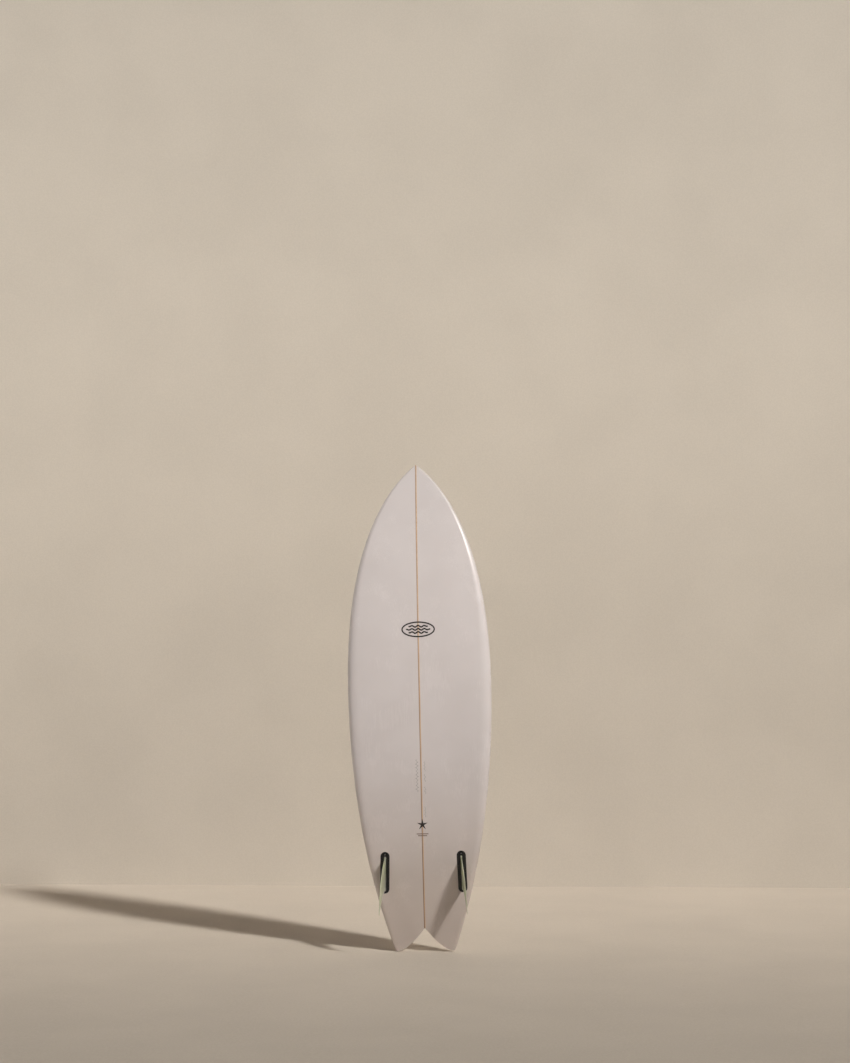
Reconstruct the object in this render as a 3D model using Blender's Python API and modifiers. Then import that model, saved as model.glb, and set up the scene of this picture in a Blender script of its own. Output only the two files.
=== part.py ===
"""Swallow-tail twin-fin surfboard, standing on its tail with the nose up.

Metres. +Z runs from the tail to the nose, the bottom and its fins face -Y and the deck faces +Y.
The board is symmetric about x = 0 apart from the leash plug. Heights are measured from the tail tips.
"""

import math

import bmesh
import bpy
from mathutils import Matrix, Vector

# Plan shape: each curve is four Bezier points of (half width, height).
LENGTH = 1.727
WIDE_POINT = 0.943
MAX_HALF_WIDTH = 0.254
NOSE_OUTLINE = ((0.0, LENGTH), (0.094, 1.657), (MAX_HALF_WIDTH, 1.459), (MAX_HALF_WIDTH, WIDE_POINT))
TAIL_OUTLINE = ((MAX_HALF_WIDTH, WIDE_POINT), (MAX_HALF_WIDTH, 0.477), (0.165, 0.170), (0.095, -0.030))
NOTCH_ARM = ((0.0, 0.084), (0.024, 0.054), (0.060, 0.008), (0.098, 0.0))
TAIL_TIP = ((0.098, 0.0), (0.103, 0.0), (0.1065, 0.006), (0.1097, 0.0155))
TIP_RUN_OUT = (0.145, 0.027)

# Foil: four Bezier points of (thickness, height).
NOSE_FOIL = ((0.012, LENGTH), (0.036, 1.550), (0.062, 1.220), (0.062, WIDE_POINT))
TAIL_FOIL = ((0.062, WIDE_POINT), (0.062, 0.600), (0.042, 0.300), (0.020, -0.030))

# Rocker: how far the bottom lifts towards the deck side.
FLAT_POINT = 0.800
NOSE_ROCKER = 0.118
NOSE_POWER = 2.6
TAIL_ROCKER = 0.050
TAIL_POWER = 2.2

# Rail section.
APEX_SHARE = 0.40
TAIL_TUCK = 0.010
MID_TUCK = 0.045
NOSE_TUCK = 0.006
TUCK_HEIGHT = 0.750
TUCK_SHARE = 0.55
TUCK_HANDLE = 0.40
TUCK_LIFT = 0.35
DECK_SHOULDER = 0.64
DECK_CROWN = 0.62

# Layers.
GLASS = 0.0012
GAP = 0.0003
CORE_INSET = GLASS + GAP
STRINGER = 0.0048

# Fin boxes and fins. A box lies along the board, its face flush with the bottom.
BOX_HEIGHT = 0.284
BOX_OFFSET = 0.1365
BOX_LENGTH = 0.149
BOX_WIDTH = 0.032
BOX_DEPTH = 0.0175
BOX_SINK = 0.0002
TOE_IN = math.radians(1.7)
CANT = math.radians(6.5)
TAB_WIDTH = 0.0070
TAB_DEPTH = 0.0135
TAB_FRONT = 0.0575
TAB_REAR = -0.0665
SLOT_FLOOR_GAP = 0.0005
BLADE_ROOT_FRONT = 0.0565
BLADE_ROOT_DEPTH = 0.003
# Four Bezier points of (distance behind the front of the root, height above the box).
BLADE_FRONT = ((0.0, 0.0), (0.032, 0.066), (0.076, 0.116), (0.172, 0.127))
BLADE_BACK = ((0.121, 0.0), (0.125, 0.045), (0.150, 0.098), (0.186, 0.1215))
ROOT_THICKNESS = 0.0064
TIP_THICKNESS = 0.0022
EDGE_THICKNESS = 0.0008
EDGE_SHARE = 0.125
# Thickness along a symmetric foil: factors of the root and the first four powers of the chord.
FOIL_SHAPE = (2.969, -1.260, -3.516, 2.843, -1.015)

# Grub screw at the front of each box, leaning back towards the tab.
SCREW_RADIUS = 0.0024
SCREW_TOP = 0.0008
SCREW_TIP = 0.0105
SCREW_HOLE_END = 0.0130
SCREW_ENTRY = 0.0655
SCREW_LEAN = math.radians(30.0)
SOCKET_RADIUS = 0.00145
SOCKET_DEPTH = 0.0030
SOCKET_SIDES = 6
SCREW_CHAMFER = 0.0004

# Leash plug in the deck, beside the stringer.
PLUG_HEIGHT = 0.165
PLUG_OFFSET = 0.036
PLUG_RADIUS = 0.0145
PLUG_DEPTH = 0.0180
PLUG_MOUTH = 0.0110
PLUG_FLOOR = 0.0085
PLUG_HOLLOW = 0.0150
PLUG_LIP = 0.0008
PIN_RADIUS = 0.0020
PIN_HALF_LENGTH = 0.0128
PIN_DEPTH = 0.0050
PIN_CHAMFER = 0.0004

# Resolution.
TAIL_STATIONS = 18
NOSE_STATIONS = 18
FLAT_STEPS = 3
TUCK_STEPS = 5
DECK_STEPS = 8
ARM_STEPS = 8
TIP_STEPS = 4
BLADE_SECTIONS = 9
FOIL_STEPS = 8
ROUND_STEPS = 32
SMALL_STEPS = 20
BOWL_STEPS = 4
SEARCH_STEPS = 40
SHARP_ANGLE = math.radians(35.0)
CHAMFER_ANGLE = math.radians(60.0)
SLOPE_STEP = 0.001
WELD = 0.00001
OVERSHOOT = 0.010
TAIL_REACH = 0.4

COLOURS = {
    # name: (red, green, blue, roughness, metallic)
    "foam": (0.80, 0.77, 0.73, 0.85, 0.0),
    "basswood": (0.50, 0.30, 0.16, 0.60, 0.0),
    "clear_glass": (0.72, 0.68, 0.66, 0.12, 0.0),
    "deck_glass": (0.74, 0.71, 0.69, 0.14, 0.0),
    "box_black": (0.020, 0.020, 0.022, 0.45, 0.0),
    "fin_glass": (0.46, 0.52, 0.36, 0.22, 0.0),
    "screw_steel": (0.62, 0.61, 0.58, 0.30, 1.0),
    "plug_black": (0.025, 0.025, 0.027, 0.40, 0.0),
    "pin_steel": (0.66, 0.66, 0.65, 0.22, 1.0),
}


def bezier(curve, t):
    """Point of a cubic Bezier curve in the plane."""
    s = 1.0 - t
    weights = (s * s * s, 3 * s * s * t, 3 * s * t * t, t * t * t)
    return tuple(sum(w * p[axis] for w, p in zip(weights, curve)) for axis in (0, 1))


def bezier_line(curve, steps):
    return [bezier(curve, i / steps) for i in range(steps + 1)]


def value_at(curve, height):
    """First coordinate of a falling curve where its second coordinate equals height."""
    low, high = 0.0, 1.0
    for _ in range(SEARCH_STEPS):
        middle = 0.5 * (low + high)
        if bezier(curve, middle)[1] > height:
            low = middle
        else:
            high = middle
    return bezier(curve, low)[0]


def half_width(z):
    return value_at(NOSE_OUTLINE if z > WIDE_POINT else TAIL_OUTLINE, z)


def thickness(z):
    return value_at(NOSE_FOIL if z > WIDE_POINT else TAIL_FOIL, z)


def rocker(z):
    if z > FLAT_POINT:
        return NOSE_ROCKER * ((z - FLAT_POINT) / (LENGTH - FLAT_POINT)) ** NOSE_POWER
    return TAIL_ROCKER * ((FLAT_POINT - z) / FLAT_POINT) ** TAIL_POWER


def slope(function, z):
    return (function(z + SLOPE_STEP) - function(z - SLOPE_STEP)) / (2 * SLOPE_STEP)


def stations():
    """Heights of the cross-sections, close together towards the nose."""
    start = TAIL_OUTLINE[3][1]
    tail = [start + (WIDE_POINT - start) * i / TAIL_STATIONS for i in range(TAIL_STATIONS)]
    rise = LENGTH - WIDE_POINT
    nose = [WIDE_POINT + rise * math.sin(0.5 * math.pi * i / NOSE_STATIONS) for i in range(NOSE_STATIONS)]
    return tail + nose


def tuck_width(z):
    """Width of the rounding under the rail: soft amidships, crisp at the tail and the nose."""
    if z > WIDE_POINT:
        return NOSE_TUCK + (MID_TUCK - NOSE_TUCK) * (LENGTH - z) / (LENGTH - WIDE_POINT)
    return TAIL_TUCK + (MID_TUCK - TAIL_TUCK) * min(max(z / TUCK_HEIGHT, 0.0), 1.0)


def section(z, inset):
    """Right half of a cross-section pulled in by inset: keel to rail, then rail to deck centre."""
    width = half_width(z) - inset * math.hypot(1.0, slope(half_width, z))
    keel = rocker(z) + inset
    crown = rocker(z) + thickness(z) - inset
    apex = rocker(z) + APEX_SHARE * thickness(z)
    tuck = min(tuck_width(z), TUCK_SHARE * width)
    flat = width - tuck
    lift = keel + TUCK_LIFT * (apex - keel)
    tuck_curve = ((flat, keel), (width - TUCK_HANDLE * tuck, keel), (width, lift), (width, apex))
    shoulder = apex + DECK_SHOULDER * (crown - apex)
    deck_curve = ((width, apex), (width, shoulder), (DECK_CROWN * width, crown), (0.0, crown))
    lower = [(flat * i / FLAT_STEPS, keel) for i in range(FLAT_STEPS)] + bezier_line(tuck_curve, TUCK_STEPS)
    return lower, bezier_line(deck_curve, DECK_STEPS)


def deck_y(x, z):
    """Deck surface at a place on the board."""
    line = section(z, 0.0)[1]
    for (outer_x, outer_y), (inner_x, inner_y) in zip(line, line[1:]):
        if inner_x <= abs(x) <= outer_x:
            share = (abs(x) - inner_x) / (outer_x - inner_x)
            return inner_y + share * (outer_y - inner_y)
    return line[-1][1]


def mirrored(half):
    """Whole line from a half line that starts at x = 0."""
    return [(-x, y) for x, y in reversed(half[1:])] + list(half)


def collection(name):
    made = bpy.data.collections.new(name)
    bpy.context.scene.collection.children.link(made)
    return made


def material(name):
    red, green, blue, roughness, metallic = COLOURS[name]
    made = bpy.data.materials.get(name) or bpy.data.materials.new(name)
    made.use_nodes = True
    shader = made.node_tree.nodes["Principled BSDF"]
    shader.inputs["Base Color"].default_value = (red, green, blue, 1.0)
    shader.inputs["Roughness"].default_value = roughness
    shader.inputs["Metallic"].default_value = metallic
    return made


def add_piece(name, mesh, parent, colour):
    """A solid of the board, with its own material."""
    mesh.materials.clear()
    mesh.materials.append(material(colour))
    mesh.shade_smooth()
    mesh.set_sharp_from_angle(angle=SHARP_ANGLE)
    piece = bpy.data.objects.new(name, mesh)
    PARTS.objects.link(piece)
    piece.parent = parent
    return piece


def add_cutter(name, mesh, parent):
    cutter = bpy.data.objects.new(name, mesh)
    CUTTERS.objects.link(cutter)
    cutter.parent = parent
    cutter.hide_render = True
    cutter.display_type = "WIRE"
    return cutter


def add_empty(name, parent=None, matrix=None):
    empty = bpy.data.objects.new(name, None)
    PARTS.objects.link(empty)
    empty.parent = parent
    if matrix is not None:
        empty.location, turn, _ = matrix.decompose()
        empty.rotation_euler = turn.to_euler()
    return empty


def boolean(piece, operation, other):
    step = piece.modifiers.new(operation.lower() + "_" + other.name, "BOOLEAN")
    step.operation = operation
    step.object = other
    step.solver = "EXACT"


def mesh_from(name, build):
    work = bmesh.new()
    build(work)
    bmesh.ops.recalc_face_normals(work, faces=work.faces)
    mesh = bpy.data.meshes.new(name)
    work.to_mesh(mesh)
    work.free()
    return mesh


def loft(name, rings, close_end=True):
    """Solid through closed rings of equal point count; coinciding points of the last ring are merged."""
    def build(work):
        rows = [[work.verts.new(point) for point in ring] for ring in rings]
        count = len(rings[0])
        for low, high in zip(rows, rows[1:]):
            for i in range(count):
                j = (i + 1) % count
                work.faces.new((low[i], low[j], high[j], high[i]))
        work.faces.new(rows[0])
        if close_end:
            work.faces.new(rows[-1])
        bmesh.ops.remove_doubles(work, verts=work.verts, dist=WELD)
    return mesh_from(name, build)


def cylinder(name, radius, bottom, top, steps):
    """Cylinder about the local z axis between two heights."""
    def build(work):
        middle = Matrix.Translation((0.0, 0.0, 0.5 * (bottom + top)))
        bmesh.ops.create_cone(work, cap_ends=True, segments=steps, radius1=radius, radius2=radius,
                              depth=top - bottom, matrix=middle)
    return mesh_from(name, build)


def block(name, low, high):
    """Box between two corners."""
    def build(work):
        bmesh.ops.create_cube(work, size=1.0)
        for vert in work.verts:
            vert.co = Vector(a + (b - a) * (c + 0.5) for a, b, c in zip(low, high, vert.co))
    return mesh_from(name, build)


def flat_solid(name, outline, bottom, top):
    """Flat outline in the local xy plane, made solid between two heights."""
    curve = bpy.data.curves.new(name, "CURVE")
    curve.dimensions = "2D"
    curve.fill_mode = "BOTH"
    curve.extrude = 0.5 * (top - bottom)
    line = curve.splines.new("POLY")
    line.points.add(len(outline) - 1)
    for point, (x, y) in zip(line.points, outline):
        point.co = (x, y, 0.0, 1.0)
    line.use_cyclic_u = True
    holder = bpy.data.objects.new(name, curve)
    CUTTERS.objects.link(holder)
    graph = bpy.context.evaluated_depsgraph_get()
    mesh = bpy.data.meshes.new_from_object(holder.evaluated_get(graph))
    bpy.data.objects.remove(holder)
    mesh.transform(Matrix.Translation((0.0, 0.0, 0.5 * (bottom + top))))
    work = bmesh.new()
    work.from_mesh(mesh)
    bmesh.ops.remove_doubles(work, verts=work.verts, dist=WELD)
    bmesh.ops.recalc_face_normals(work, faces=work.faces)
    work.to_mesh(mesh)
    work.free()
    return mesh


def obround(radius, front, rear, steps):
    """Outline of a slot with round ends, along y."""
    turns = [math.pi * i / steps for i in range(steps + 1)]
    ahead = [(radius * math.cos(turn), front - radius + radius * math.sin(turn)) for turn in turns]
    behind = [(-radius * math.cos(turn), rear + radius - radius * math.sin(turn)) for turn in turns]
    return ahead + behind


def whole_loft(name, inset):
    """The whole board pulled in by inset."""
    rings = []
    for z in stations():
        lower, upper = section(z, inset)
        right = lower + upper[1:]
        left = [(-x, y) for x, y in reversed(right[1:-1])]
        rings.append([(x, y, z) for x, y in right + left])
    tip = nose_tip(inset)
    rings.append([tip] * len(rings[0]))
    return loft(name, rings, close_end=False)


def nose_tip(inset, lift=0.0):
    """The point where all sections meet, pulled back by inset."""
    steepness = -slope(half_width, LENGTH - 2 * SLOPE_STEP)
    reach = inset * math.hypot(1.0, steepness) / steepness
    return (0.0, rocker(LENGTH) + APEX_SHARE * thickness(LENGTH) + lift, LENGTH - reach)


def skin(name, deck):
    """One glass skin, from rail to rail, parted from the other along the rail's widest line."""
    lift = 0.5 * GAP if deck else -0.5 * GAP
    rings = []
    for z in stations():
        ring = []
        for inset in (0.0, GLASS):
            lower, upper = section(z, inset)
            half = list(reversed(upper)) if deck else lower
            half[-1] = (half[-1][0], half[-1][1] + lift)
            line = [(x, y, z) for x, y in mirrored(half)]
            ring += line if inset == 0.0 else list(reversed(line))
        rings.append(ring)
    side = len(rings[0]) // 2
    rings.append([nose_tip(0.0, lift)] * side + [nose_tip(GLASS, lift)] * side)
    return loft(name, rings, close_end=False)


def tail_line():
    """Swallow-tail cut from left run-out to right run-out, as (x, height)."""
    half = bezier_line(NOTCH_ARM, ARM_STEPS) + bezier_line(TAIL_TIP, TIP_STEPS)[1:] + [TIP_RUN_OUT]
    return mirrored(half)


def raised(line, distance):
    """The line moved to its upper side by distance, with mitred corners."""
    moved = []
    for i, point in enumerate(line):
        here = Vector(point)
        before = (here - Vector(line[i - 1])).normalized() if i > 0 else None
        after = (Vector(line[i + 1]) - here).normalized() if i + 1 < len(line) else None
        before = before or after
        after = after or before
        across = (before + after).normalized()
        normal = Vector((-across.y, across.x))
        moved.append(tuple(here + normal * (distance / normal.dot(Vector((-before.y, before.x))))))
    return moved


def upright(mesh):
    """Turns a flat solid so that its outline stands in the xz plane."""
    mesh.transform(Matrix.Rotation(0.5 * math.pi, 4, "X"))
    return mesh


def tail_cutter(name, line):
    """Everything below the tail line."""
    reach = TIP_RUN_OUT[0]
    below = TAIL_OUTLINE[3][1] - OVERSHOOT
    outline = line + [(reach, below), (-reach, below)]
    return add_cutter(name, upright(flat_solid(name, outline, -TAIL_REACH, TAIL_REACH)), BOARD)


def tail_wrap():
    """Glass round the swallow-tail cut, the board's full thickness deep."""
    line = tail_line()
    outline = line + list(reversed(raised(line, GLASS)))
    band = add_cutter("tail_band", upright(flat_solid("tail_band", outline, -TAIL_REACH, TAIL_REACH)), BOARD)
    wrap = add_piece("tail_wrap", whole_loft("tail_wrap", 0.0), BOARD, "clear_glass")
    boolean(wrap, "INTERSECT", band)


def seat(point, normal, along):
    """Frame on the board's surface: local z leaves the surface, local y runs towards the nose."""
    out = Vector(normal).normalized()
    lengthways = Vector(along)
    lengthways = (lengthways - out * lengthways.dot(out)).normalized()
    sideways = lengthways.cross(out)
    turn = Matrix((sideways, lengthways, out)).transposed()
    return Matrix.Translation(point) @ turn.to_4x4()


def box_seat(side):
    """Frame at the middle of a fin box's face; side is 1 at +x and -1 at -x."""
    tilt = slope(rocker, BOX_HEIGHT)
    point = (side * BOX_OFFSET, rocker(BOX_HEIGHT) + BOX_SINK, BOX_HEIGHT)
    return seat(point, (0.0, -1.0, tilt), (-side * math.tan(TOE_IN), tilt, 1.0))


def plug_seat():
    """Frame at the middle of the leash plug's rim."""
    along = slope(lambda z: deck_y(PLUG_OFFSET, z), PLUG_HEIGHT)
    across = slope(lambda x: deck_y(x, PLUG_HEIGHT), PLUG_OFFSET)
    point = (PLUG_OFFSET, deck_y(PLUG_OFFSET, PLUG_HEIGHT), PLUG_HEIGHT)
    return seat(point, (-across, 1.0, -along), (0.0, along, 1.0))


def foil_ring(share, height, front, back):
    """Closed foil section between two places on the blade's front and back edges."""
    thick = ROOT_THICKNESS + (TIP_THICKNESS - ROOT_THICKNESS) * share
    side = []
    for i in range(FOIL_STEPS + 1):
        c = 0.5 * (1.0 - math.cos(math.pi * i / FOIL_STEPS))
        shape = sum(factor * c ** power for factor, power in zip(FOIL_SHAPE, (0.5, 1, 2, 3, 4)))
        half = 0.5 * max(thick * shape, EDGE_THICKNESS * min(1.0, c / EDGE_SHARE))
        y = BLADE_ROOT_FRONT - front[0] - (back[0] - front[0]) * c
        z = height + front[1] + (back[1] - front[1]) * c
        side.append((half, y, z))
    other = [(-x, y, z) for x, y, z in reversed(side[1:])]
    return side + other


def blade():
    """The fin above its tab, from just inside the slot to the tip."""
    rings = [foil_ring(0.0, -BLADE_ROOT_DEPTH, BLADE_FRONT[0], BLADE_BACK[0])]
    for i in range(BLADE_SECTIONS + 1):
        t = i / BLADE_SECTIONS
        rings.append(foil_ring(t, 0.0, bezier(BLADE_FRONT, t), bezier(BLADE_BACK, t)))
    return loft("blade", rings)


def fin_set(word, side, cores, bottom):
    """One box let into the bottom, with its fin and grub screw."""
    place = add_empty("box_seat_" + word, BOARD, box_seat(side))
    axis = add_empty("fin_axis_" + word, place)
    axis.rotation_euler = (0.0, side * CANT, 0.0)

    half_length = 0.5 * BOX_LENGTH
    reach = half_length + GAP
    pocket_outline = obround(0.5 * BOX_WIDTH + GAP, reach, -reach, ROUND_STEPS // 2)
    pocket_mesh = flat_solid("pocket_" + word, pocket_outline, -BOX_DEPTH - GAP, OVERSHOOT)
    pocket = add_cutter("pocket_" + word, pocket_mesh, place)
    boolean(bottom, "DIFFERENCE", pocket)
    for core in cores:
        boolean(core, "DIFFERENCE", pocket)

    slot_outline = obround(0.5 * TAB_WIDTH + GAP, TAB_FRONT + GAP, TAB_REAR - GAP, SMALL_STEPS // 2)
    slot_mesh = flat_solid("slot_" + word, slot_outline, -TAB_DEPTH - SLOT_FLOOR_GAP, OVERSHOOT)
    slot = add_cutter("slot_" + word, slot_mesh, axis)
    hole_mesh = cylinder("screw_hole_" + word, SCREW_RADIUS + GAP, -SCREW_HOLE_END, OVERSHOOT, SMALL_STEPS)
    hole = add_cutter("screw_hole_" + word, hole_mesh, axis)
    box_outline = obround(0.5 * BOX_WIDTH, half_length, -half_length, ROUND_STEPS // 2)
    box_mesh = flat_solid("fin_box_" + word, box_outline, -BOX_DEPTH, 0.0)
    box = add_piece("fin_box_" + word, box_mesh, place, "box_black")
    boolean(box, "DIFFERENCE", slot)
    boolean(box, "DIFFERENCE", hole)

    tab_outline = obround(0.5 * TAB_WIDTH, TAB_FRONT, TAB_REAR, SMALL_STEPS // 2)
    tab = add_cutter("tab_" + word, flat_solid("tab_" + word, tab_outline, -TAB_DEPTH, 0.0), axis)
    fin = add_piece("fin_" + word, blade(), axis, "fin_glass")
    boolean(fin, "UNION", tab)

    screw_mesh = cylinder("fin_screw_" + word, SCREW_RADIUS, -SCREW_TIP, -SCREW_TOP, SMALL_STEPS)
    screw = add_piece("fin_screw_" + word, screw_mesh, axis, "screw_steel")
    socket_mesh = cylinder("socket_" + word, SOCKET_RADIUS, -SCREW_TOP - SOCKET_DEPTH, OVERSHOOT, SOCKET_SIDES)
    socket = add_cutter("socket_" + word, socket_mesh, axis)
    chamfer(screw, SCREW_CHAMFER)
    boolean(screw, "DIFFERENCE", socket)
    for item in (screw, hole, socket):
        item.location = (0.0, SCREW_ENTRY, 0.0)
        item.rotation_euler = (-SCREW_LEAN, 0.0, 0.0)


def chamfer(piece, width):
    step = piece.modifiers.new("chamfer", "BEVEL")
    step.width = width
    step.segments = 1
    step.limit_method = "ANGLE"
    step.angle_limit = CHAMFER_ANGLE


def leash_plug(core, deck):
    """Moulded cup let into the deck, with a steel bar across its mouth."""
    place = add_empty("plug_seat", BOARD, plug_seat())
    pocket_mesh = cylinder("plug_pocket", PLUG_RADIUS + GAP, -PLUG_DEPTH - GAP, OVERSHOOT, ROUND_STEPS)
    pocket = add_cutter("plug_pocket", pocket_mesh, place)
    boolean(deck, "DIFFERENCE", pocket)
    boolean(core, "DIFFERENCE", pocket)

    cup_mesh = cylinder("leash_plug", PLUG_RADIUS, -PLUG_DEPTH, 0.0, ROUND_STEPS)
    cup = add_piece("leash_plug", cup_mesh, place, "plug_black")
    boolean(cup, "DIFFERENCE", cup_hollow(place))
    reach = PIN_HALF_LENGTH + GAP
    bore_mesh = cylinder("pin_bore", PIN_RADIUS + GAP, -reach, reach, SMALL_STEPS)
    bore = add_cutter("pin_bore", bore_mesh, place)
    boolean(cup, "DIFFERENCE", bore)
    pin_mesh = cylinder("leash_pin", PIN_RADIUS, -PIN_HALF_LENGTH, PIN_HALF_LENGTH, SMALL_STEPS)
    pin = add_piece("leash_pin", pin_mesh, place, "pin_steel")
    chamfer(pin, PIN_CHAMFER)
    for item in (bore, pin):
        item.location = (0.0, 0.0, -PIN_DEPTH)
        item.rotation_euler = (0.0, 0.5 * math.pi, 0.0)


def cup_hollow(place):
    """Turned hollow of the leash plug: a flared lip, sloping walls and a round floor."""
    wall = [(0.0, OVERSHOOT), (PLUG_MOUTH + OVERSHOOT, OVERSHOOT), (PLUG_MOUTH + PLUG_LIP, 0.0),
            (PLUG_MOUTH, -PLUG_LIP)]
    for i in range(BOWL_STEPS + 1):
        turn = 0.5 * math.pi * i / BOWL_STEPS
        drop = PLUG_HOLLOW - 0.5 * PLUG_FLOOR * (1.0 - math.sin(turn))
        wall.append((PLUG_FLOOR * math.cos(turn) if i < BOWL_STEPS else 0.0, -drop))
    mesh = bpy.data.meshes.new("cup_hollow")
    mesh.from_pydata([(x, 0.0, z) for x, z in wall], [(i, i + 1) for i in range(len(wall) - 1)], [])
    cutter = add_cutter("cup_hollow", mesh, place)
    turned = cutter.modifiers.new("turned", "SCREW")
    turned.steps = ROUND_STEPS
    turned.render_steps = ROUND_STEPS
    turned.use_merge_vertices = True
    turned.merge_threshold = WELD
    return cutter


def cores():
    """Two foam halves with the stringer between them, all cut from one inset board."""
    reach = 2 * MAX_HALF_WIDTH
    low, high = -2 * OVERSHOOT - reach, LENGTH + OVERSHOOT
    inner = 0.5 * STRINGER
    spans = {
        "foam_core_left": (-reach, -inner - GAP, "foam"),
        "stringer": (-inner, inner, "basswood"),
        "foam_core_right": (inner + GAP, reach, "foam"),
    }
    made = {}
    for name, (start, end, colour) in spans.items():
        slab_mesh = block("slab_" + name, (start, -reach, low), (end, reach, high))
        slab = add_cutter("slab_" + name, slab_mesh, BOARD)
        made[name] = add_piece(name, whole_loft(name, CORE_INSET), BOARD, colour)
        boolean(made[name], "INTERSECT", slab)
    return made


def stand_on_centre():
    """Moves the board so that the middle of its box's base is the origin."""
    graph = bpy.context.evaluated_depsgraph_get()
    corners = []
    for piece in PARTS.objects:
        if piece.type == "MESH":
            shaped = piece.evaluated_get(graph)
            corners += [shaped.matrix_world @ vert.co for vert in shaped.data.vertices]
    low = [min(corner[axis] for corner in corners) for axis in range(3)]
    high = [max(corner[axis] for corner in corners) for axis in range(3)]
    BOARD.location = (-0.5 * (low[0] + high[0]), -0.5 * (low[1] + high[1]), -low[2])


def build():
    core = cores()
    bottom = add_piece("bottom_laminate", skin("bottom_laminate", deck=False), BOARD, "clear_glass")
    deck = add_piece("deck_laminate", skin("deck_laminate", deck=True), BOARD, "deck_glass")
    cut = tail_cutter("tail_cutter", raised(tail_line(), CORE_INSET))
    for piece in (*core.values(), bottom, deck):
        boolean(piece, "DIFFERENCE", cut)
    tail_wrap()
    fin_set("left", -1, [core["foam_core_left"]], bottom)
    fin_set("right", 1, [core["foam_core_right"]], bottom)
    leash_plug(core["foam_core_right"], deck)
    stand_on_centre()


for old in list(bpy.data.objects):
    bpy.data.objects.remove(old)
PARTS = collection("swallow_tail_surfboard")
CUTTERS = collection("cutters")
BOARD = add_empty("board_origin")
build()
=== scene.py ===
import math

import bmesh
import bpy
from mathutils import Matrix, Vector


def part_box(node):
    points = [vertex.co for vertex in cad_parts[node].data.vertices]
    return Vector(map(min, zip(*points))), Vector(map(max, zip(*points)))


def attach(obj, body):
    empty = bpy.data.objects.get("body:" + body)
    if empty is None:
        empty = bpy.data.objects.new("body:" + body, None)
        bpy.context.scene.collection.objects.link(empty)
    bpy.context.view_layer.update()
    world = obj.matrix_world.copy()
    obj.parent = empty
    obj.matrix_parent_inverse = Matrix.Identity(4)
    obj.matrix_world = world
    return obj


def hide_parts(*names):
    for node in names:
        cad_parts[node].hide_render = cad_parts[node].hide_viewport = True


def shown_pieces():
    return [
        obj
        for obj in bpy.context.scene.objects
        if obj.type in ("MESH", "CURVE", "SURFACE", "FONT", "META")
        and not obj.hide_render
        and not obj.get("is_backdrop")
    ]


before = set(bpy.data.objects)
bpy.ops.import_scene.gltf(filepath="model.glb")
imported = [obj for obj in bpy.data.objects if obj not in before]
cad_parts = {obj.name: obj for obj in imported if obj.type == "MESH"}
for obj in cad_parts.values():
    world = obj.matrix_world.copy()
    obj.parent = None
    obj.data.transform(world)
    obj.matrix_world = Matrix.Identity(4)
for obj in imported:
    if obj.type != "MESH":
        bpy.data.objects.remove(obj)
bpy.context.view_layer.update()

# ---------------------------------------------------------------- sizes, in metres
# Plan shape and foil of the board: four Bezier points of (across, height) for each curve.
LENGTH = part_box("bottom_laminate")[1].z
WIDE_POINT = 0.943
HALF_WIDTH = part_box("bottom_laminate")[1].x
BOTTOM_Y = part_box("bottom_laminate")[0].y
NOSE_OUTLINE = ((0.0, LENGTH), (0.094, 1.657), (HALF_WIDTH, 1.459), (HALF_WIDTH, WIDE_POINT))
TAIL_OUTLINE = ((HALF_WIDTH, WIDE_POINT), (HALF_WIDTH, 0.477), (0.165, 0.170), (0.095, -0.030))
NOTCH_ARM = ((0.0, 0.084), (0.024, 0.054), (0.060, 0.008), (0.098, 0.0))
TAIL_TIP = ((0.098, 0.0), (0.103, 0.0), (0.1065, 0.006), (0.1097, 0.0155))
TIP_RUN_OUT = (0.145, 0.027)
NOSE_FOIL = ((0.012, LENGTH), (0.036, 1.550), (0.062, 1.220), (0.062, WIDE_POINT))
TAIL_FOIL = ((0.062, WIDE_POINT), (0.062, 0.600), (0.042, 0.300), (0.020, -0.030))
FLAT_POINT = 0.800
NOSE_ROCKER, NOSE_POWER = 0.118, 2.6
TAIL_ROCKER, TAIL_POWER = 0.050, 2.2
APEX_SHARE = 0.40
TAIL_TUCK, MID_TUCK, NOSE_TUCK, TUCK_HEIGHT = 0.010, 0.045, 0.006, 0.750
TUCK_SHARE, TUCK_HANDLE, TUCK_LIFT = 0.55, 0.40, 0.35
DECK_SHOULDER, DECK_CROWN = 0.64, 0.62
STRINGER = 0.0048

BOX_HEIGHT, BOX_OFFSET = 0.284, 0.1365
BOX_LENGTH, BOX_WIDTH, BOX_DEPTH = 0.149, 0.032, 0.0175
BOX_SINK = 0.0002
TOE_IN, CANT = math.radians(1.7), math.radians(6.5)
TAB_WIDTH, TAB_DEPTH = 0.0070, 0.0135
TAB_FRONT, TAB_REAR = 0.0575, -0.0665
SLOT_GAP = 0.0003
BLADE_ROOT_FRONT = 0.0565
BLADE_FRONT = ((0.0, 0.0), (0.032, 0.066), (0.076, 0.116), (0.172, 0.127))
BLADE_BACK = ((0.121, 0.0), (0.125, 0.045), (0.150, 0.098), (0.186, 0.1215))
ROOT_THICKNESS, TIP_THICKNESS, EDGE_THICKNESS = 0.0064, 0.0022, 0.0008
BLADE_ROOT_DEPTH = 0.002
# Half thickness of a standard wing section: factors of the root, first, second, third and fourth powers.
FOIL_FACTORS = (2.969, -1.26, -3.516, 2.843, -1.015)
SLOT_FLOOR_GAP = 0.0005
BOX_ROUNDING, FLOOR_ROUNDING, TAB_ROUNDING = 0.00035, 0.0005, 0.0004
SLOT_MARGIN, HOLE_MARGIN = 0.002, 0.001

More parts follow.
